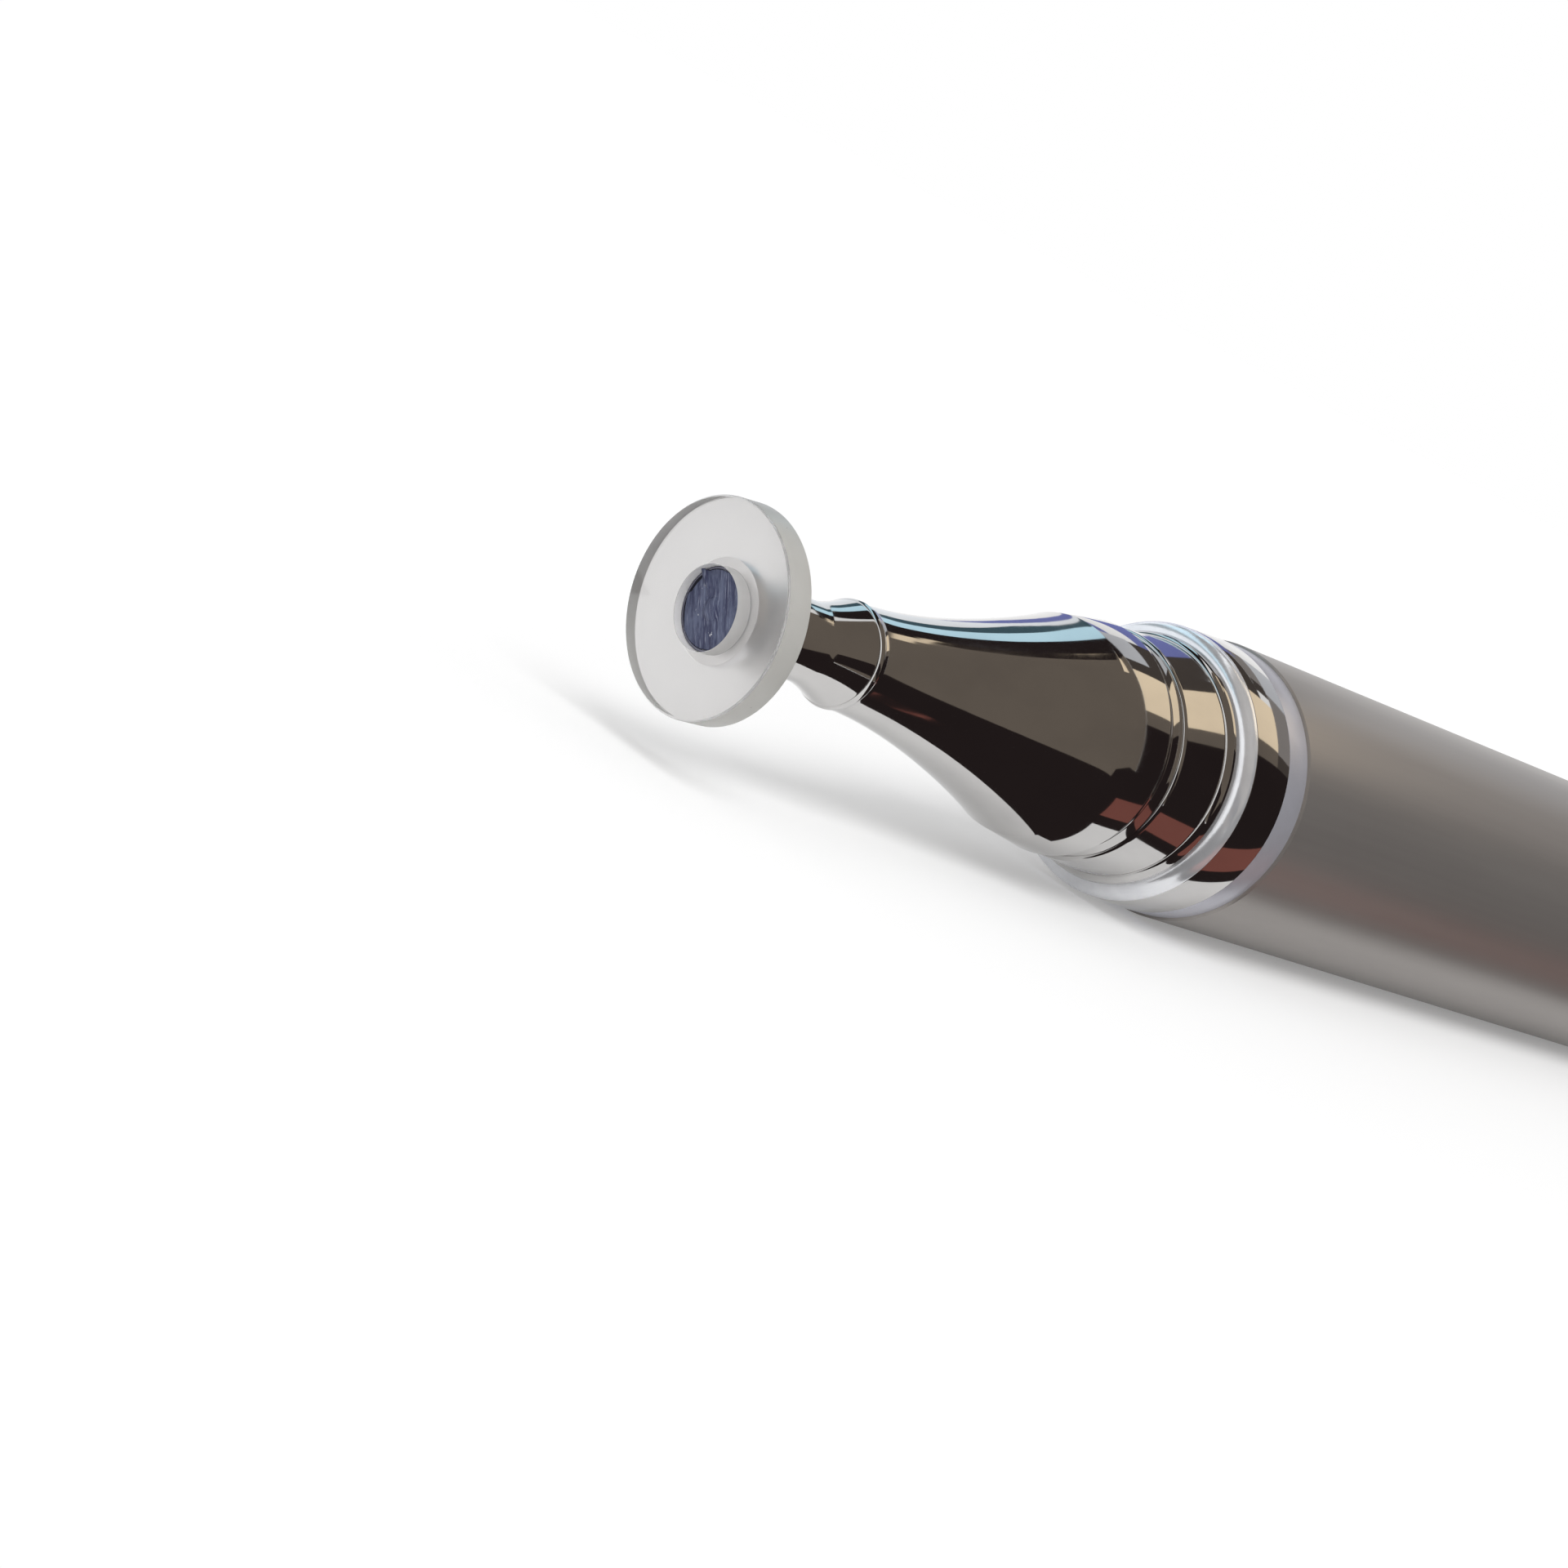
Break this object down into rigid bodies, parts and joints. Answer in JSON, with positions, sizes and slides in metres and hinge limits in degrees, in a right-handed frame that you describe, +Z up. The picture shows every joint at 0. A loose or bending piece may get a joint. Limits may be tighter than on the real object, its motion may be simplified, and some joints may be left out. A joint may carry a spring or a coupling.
{
  "type": "stylus pen",
  "caption": "Slim metal stylus pen with a clear contact disc that tilts on a ball joint, a flared bright nose, stepped rings, a satin barrel and a spring clip.",
  "frame": {"origin": "on the pen's axis, midway along the front barrel", "axes": "+X along the pen from its tip to its rear end; +Z up as the pen lies on a table, resting on its barrel and on the edge of its clip, which is turned to -Y; +Y to the other side"},
  "size_m": [0.1391, 0.0114, 0.0094],
  "materials": {
    "clear_disc": "clear, slightly milky, with a smooth pale rim",
    "pale_metal": "polished, pale",
    "dark_core": "dark slate blue, scratched",
    "plain_steel": "plain bright steel",
    "bright_metal": "mirror bright",
    "brass": "plain turned brass",
    "seal_rubber": "soft, matt",
    "satin_barrel": "satin warm grey"
  },
  "bodies": {
    "pen": {"nose_cone": "bright_metal", "band_ring": "bright_metal", "step_ring": "bright_metal", "collar": "bright_metal", "barrel_rim": "pale_metal", "nose_insert": "brass", "nose_seal": "seal_rubber", "contact_spring": "plain_steel", "front_barrel": "satin_barrel", "mid_coupler": "brass", "mid_ring": "bright_metal", "rear_barrel": "satin_barrel", "balance_weight": "brass", "rear_insert": "brass", "rear_seal": "seal_rubber", "clip_band": "bright_metal", "rear_ring": "bright_metal", "end_cap": "bright_metal"},
    "nib_cartridge": {"nib_sleeve": "brass"},
    "nib": {"nib_neck": "bright_metal", "ball_stud": "plain_steel", "nib_retainer": "plain_steel"},
    "disc_core": {"contact_core": "dark_core"},
    "disc_tip": {"disc": "clear_disc", "disc_bush": "pale_metal"},
    "clip": {"clip": "bright_metal"}
  },
  "joints": [
    {"name": "nib_pull", "type": "slide", "parent": "pen", "child": "nib_cartridge", "axis": [-1, 0, 0], "range_m": [0, 0.008]},
    {"name": "nib_turn", "type": "hinge", "parent": "nib_cartridge", "child": "nib", "pos_m": [-0.0455, 0, 0], "axis": [1, 0, 0], "continuous": true},
    {"name": "disc_tilt", "type": "hinge", "parent": "nib", "child": "disc_core", "pos_m": [-0.0511, 0, 0], "axis": [0, -0.7071, -0.7071], "range_deg": [-26, 14]},
    {"name": "disc_spin", "type": "hinge", "parent": "disc_core", "child": "disc_tip", "pos_m": [-0.0511, 0, 0], "axis": [0.9945, -0.0739, 0.0739], "continuous": true},
    {"name": "clip_spring", "type": "hinge", "parent": "pen", "child": "clip", "pos_m": [0.0749, -0.00413, -0.00226], "axis": [0, -0.4796, 0.8775], "range_deg": [0, 4], "stiffness_Nm_per_rad": 3}
  ]
}
